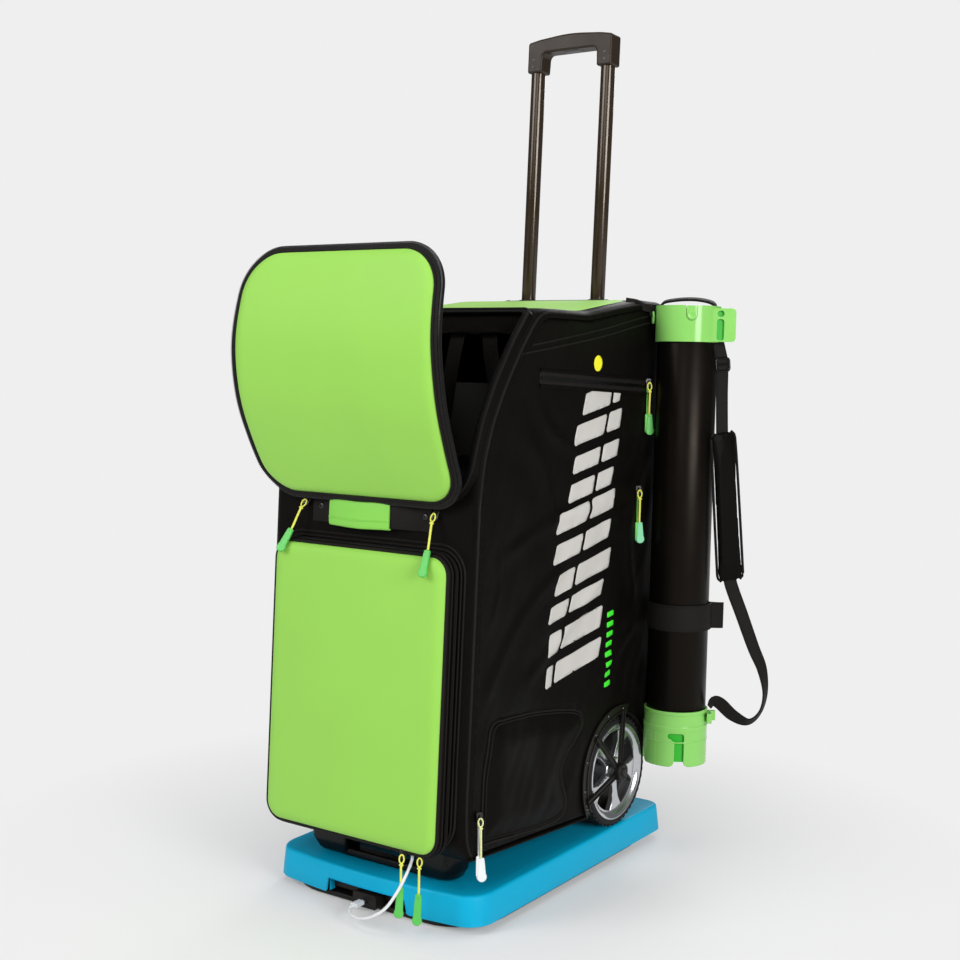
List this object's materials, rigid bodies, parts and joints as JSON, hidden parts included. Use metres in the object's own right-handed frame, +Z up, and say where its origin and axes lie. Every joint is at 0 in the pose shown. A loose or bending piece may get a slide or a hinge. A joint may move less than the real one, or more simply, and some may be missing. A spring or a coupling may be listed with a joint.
{
  "type": "tennis ball machine",
  "caption": "Wheeled soft bag with a ball launcher inside, an open front flap and a telescopic handle, on a turning base, with a ball pick-up tube beside it.",
  "frame": {"origin": "on the floor, on the axis that the base turns about, at the centre of the pivot post's foot", "axes": "+Z up, -Y is the front with the flap and the door, +X is the object's left-hand side as seen from behind, where the ball tube hangs"},
  "size_m": [0.5747, 0.6578, 1.3475],
  "materials": {
    "blue_plastic": "moulded, fine grain, semi-matte",
    "green_foam": "moulded foam faced with smooth stretch fabric",
    "green_plastic": "moulded, semi-gloss",
    "black_nylon": "coarse woven nylon",
    "black_plastic": "moulded, matte",
    "gloss_black": "gloss black coated tube",
    "grey_plastic": "moulded, matte",
    "rubber": "matte",
    "tyre": "ribbed tread, matte",
    "silver_paint": "silver painted moulding",
    "steel": "machined",
    "aluminium": "drawn tube",
    "motor_can": "plated can",
    "tube_plastic": "extruded, satin",
    "white_plastic": "soft, smooth"
  },
  "bodies": {
    "base": {"base_plate": "black_plastic", "base_foot_left": "rubber", "base_foot_right": "rubber", "pivot_post": "steel", "sector_gear": "steel"},
    "deck": {"deck_shell": "blue_plastic", "bearing_ring": "black_plastic", "turn_motor": "motor_can", "drive_box": "black_plastic", "power_socket": "black_plastic", "usb_cable": "white_plastic", "usb_plug": "white_plastic", "bag_shell": "black_nylon", "top_panel": "green_foam", "inner_frame": "black_plastic", "handle_guide_left": "aluminium", "handle_guide_right": "aluminium", "handle_bezel": "gloss_black", "front_stand": "black_plastic", "grab_handle": "black_nylon", "wheel_axle": "steel", "wheel_bracket_left": "black_plastic", "wheel_bracket_right": "black_plastic", "hopper": "black_plastic", "feed_motor": "motor_can", "control_panel": "black_plastic", "battery": "grey_plastic", "tube_wrap": "black_nylon"},
    "pinion": {"drive_pinion": "steel"},
    "wheel_left": {"wheel_rim_left": "silver_paint", "tyre_left": "tyre"},
    "wheel_right": {"wheel_rim_right": "silver_paint", "tyre_right": "tyre"},
    "handle": {"handle_tube_left": "gloss_black", "handle_tube_right": "gloss_black", "handle_grip": "black_plastic"},
    "handle_release": {"handle_button": "grey_plastic"},
    "flap": {"flap_panel": "green_foam", "flap_rim": "black_nylon"},
    "door": {"door_gusset": "black_nylon", "door_panel": "green_foam"},
    "launcher": {"launcher_housing": "black_plastic", "launch_motor_upper": "motor_can", "launch_motor_lower": "motor_can"},
    "upper_launch_wheel": {"launch_wheel_upper": "rubber"},
    "lower_launch_wheel": {"launch_wheel_lower": "rubber"},
    "feeder": {"feed_rotor": "grey_plastic"},
    "knob": {"speed_knob": "grey_plastic"},
    "switch": {"power_button": "green_plastic"},
    "tube": {"ball_tube": "tube_plastic", "tube_cap": "green_plastic", "tube_collar": "green_plastic", "carry_loop": "black_nylon", "strap_upper": "black_nylon", "strap_pad": "black_nylon", "strap_lower": "black_nylon"},
    "tube_release": {"collar_button": "green_plastic"},
    "pull_side_upper": {"zip_pull_side_upper": "green_plastic"},
    "pull_side_middle": {"zip_pull_side_middle": "green_plastic"},
    "pull_pocket": {"zip_pull_pocket": "white_plastic"}
  },
  "joints": [
    {"name": "deck_turn", "type": "hinge", "parent": "base", "child": "deck", "pos_m": [0, 0, 0.03], "axis": [0, 0, 1], "range_deg": [-15, 15]},
    {"name": "pinion_spin", "type": "hinge", "parent": "deck", "child": "pinion", "pos_m": [0, -0.076, 0.015], "axis": [0, 0, 1], "range_deg": [-60, 60]},
    {"name": "wheel_left_spin", "type": "hinge", "parent": "deck", "child": "wheel_left", "pos_m": [-0.1715, 0.17861, 0.14415], "axis": [1, 0, 0], "continuous": true},
    {"name": "wheel_right_spin", "type": "hinge", "parent": "deck", "child": "wheel_right", "pos_m": [0.1715, 0.17861, 0.14415], "axis": [1, 0, 0], "continuous": true},
    {"name": "handle_slide", "type": "slide", "parent": "deck", "child": "handle", "axis": [0, 0.0747, 0.9972], "range_m": [-0.373, 0]},
    {"name": "handle_release_press", "type": "slide", "parent": "handle", "child": "handle_release", "axis": [0, 0.0747, 0.9972], "range_m": [0, 0.004], "stiffness_N_per_m": 500, "springref_m": -0.002},
    {"name": "flap_swing", "type": "hinge", "parent": "deck", "child": "flap", "pos_m": [0, -0.2118, 0.60823], "axis": [1, 0, 0], "range_deg": [-41, 60]},
    {"name": "door_swing", "type": "hinge", "parent": "deck", "child": "door", "pos_m": [-0.163, -0.22316, 0.33631], "axis": [0, -0.0747, -0.9972], "range_deg": [0, 100]},
    {"name": "launcher_tilt", "type": "hinge", "parent": "deck", "child": "launcher", "pos_m": [0, -0.06599, 0.56019], "axis": [1, 0, 0], "range_deg": [-12, 12]},
    {"name": "upper_wheel_spin", "type": "hinge", "parent": "launcher", "child": "upper_launch_wheel", "pos_m": [0, -0.02514, 0.6201], "axis": [1, 0, 0], "continuous": true},
    {"name": "lower_wheel_spin", "type": "hinge", "parent": "launcher", "child": "lower_launch_wheel", "pos_m": [0, -0.10683, 0.50029], "axis": [1, 0, 0], "continuous": true},
    {"name": "feeder_spin", "type": "hinge", "parent": "deck", "child": "feeder", "pos_m": [0, 0.15752, 0.55849], "axis": [0, 0.0747, 0.9972], "continuous": true},
    {"name": "knob_turn", "type": "hinge", "parent": "deck", "child": "knob", "pos_m": [-0.126, -0.11392, 0.66488], "axis": [0, -0.5404, 0.8414], "range_deg": [-135, 135]},
    {"name": "switch_press", "type": "slide", "parent": "deck", "child": "switch", "axis": [0, 0.5404, -0.8414], "range_m": [0, 0.002], "stiffness_N_per_m": 300, "springref_m": -0.002},
    {"name": "tube_lift", "type": "slide", "parent": "deck", "child": "tube", "axis": [0, 0.0374, 0.9993], "range_m": [0, 0.1]},
    {"name": "tube_release_press", "type": "slide", "parent": "tube", "child": "tube_release", "axis": [-0.5592, 0.8284, -0.031], "range_m": [0, 0.0015], "stiffness_N_per_m": 300, "springref_m": -0.002},
    {"name": "pull_side_upper_swing", "type": "hinge", "parent": "deck", "child": "pull_side_upper", "pos_m": [0.1912, 0.25918, 0.76447], "axis": [1, 0, 0], "range_deg": [-35, 35]},
    {"name": "pull_side_middle_swing", "type": "hinge", "parent": "deck", "child": "pull_side_middle", "pos_m": [0.1912, 0.23138, 0.59407], "axis": [1, 0, 0], "range_deg": [-35, 35]},
    {"name": "pull_pocket_swing", "type": "hinge", "parent": "deck", "child": "pull_pocket", "pos_m": [0.1912, -0.20419, 0.17445], "axis": [1, 0, 0], "range_deg": [-35, 35]}
  ],
  "couplings": [
    {"joint": "pinion_spin", "follows": "deck_turn", "ratio": 3.75},
    {"joint": "lower_wheel_spin", "follows": "upper_wheel_spin", "ratio": -1}
  ]
}
